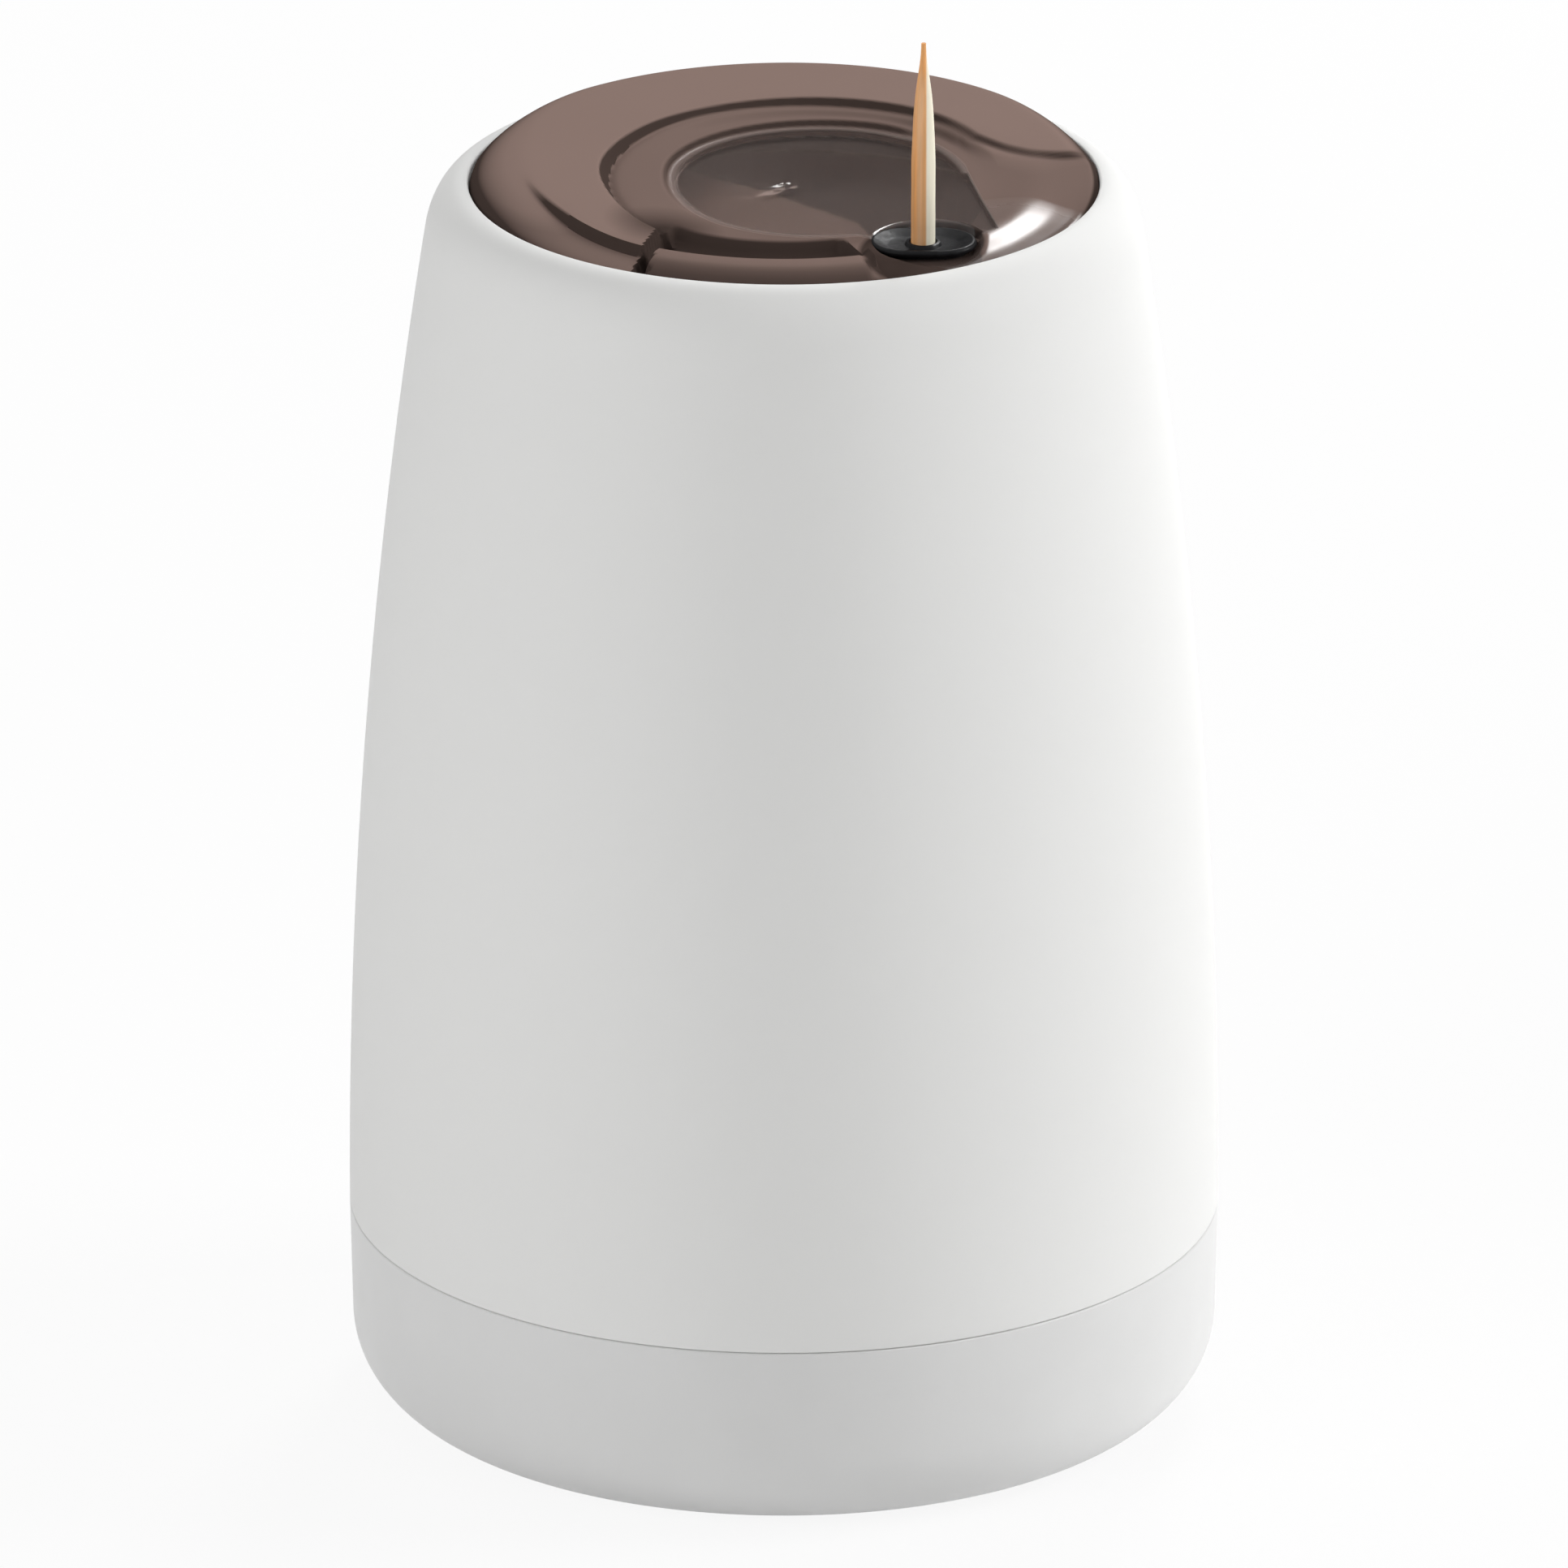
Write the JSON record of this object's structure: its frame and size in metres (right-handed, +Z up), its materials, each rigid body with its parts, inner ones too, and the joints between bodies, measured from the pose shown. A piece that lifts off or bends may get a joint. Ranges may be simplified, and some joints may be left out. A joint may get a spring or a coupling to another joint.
{
  "type": "toothpick holder",
  "caption": "Round tapered countertop toothpick holder with a translucent press-down lid that lifts one toothpick through a gripping outlet.",
  "frame": {"origin": "on the table, at the centre of the foot", "axes": "+Z up; -Y is the front, where the pull tab is, and the outlet is right of it at the front"},
  "size_m": [0.0714, 0.0714, 0.1209],
  "materials": {
    "white_plastic": "satin white moulded ABS",
    "works_plastic": "off-white moulded plastic, unseen works",
    "smoke_plastic": "glossy see-through smoky brown",
    "black_rubber": "soft black rubber",
    "grip_silicone": "grey anti-slip silicone",
    "steel": "bright zinc-plated steel",
    "birch_wood": "plain birch"
  },
  "bodies": {
    "base": {"base_cup": "white_plastic", "foot_ring": "grip_silicone", "guide_sleeve": "works_plastic", "sleeve_screws": "steel", "pin_holder": "works_plastic", "pin_holder_screws": "steel", "lifter_pin": "steel", "return_spring": "steel"},
    "shell": {"outer_shell": "white_plastic"},
    "barrel": {"toothpick_barrel": "works_plastic", "funnel_floor": "works_plastic", "hopper_insert": "works_plastic"},
    "lid": {"press_lid": "smoke_plastic", "outlet_grommet": "black_rubber"},
    "pick": {"toothpick": "birch_wood"}
  },
  "joints": [
    {"name": "shell_lift", "type": "slide", "parent": "base", "child": "shell", "axis": [0, 0, 1], "range_m": [0, 0.11]},
    {"name": "lid_press", "type": "slide", "parent": "base", "child": "barrel", "axis": [0, 0, -1], "range_m": [0, 0.02], "stiffness_N_per_m": 150, "springref_m": -0.012, "deforming": ["return_spring"]},
    {"name": "lid_lift", "type": "slide", "parent": "barrel", "child": "lid", "axis": [0, 0, 1], "range_m": [0, 0.07]},
    {"name": "toothpick_pull", "type": "slide", "parent": "lid", "child": "pick", "axis": [0, 0, 1], "range_m": [0, 0.05]}
  ]
}
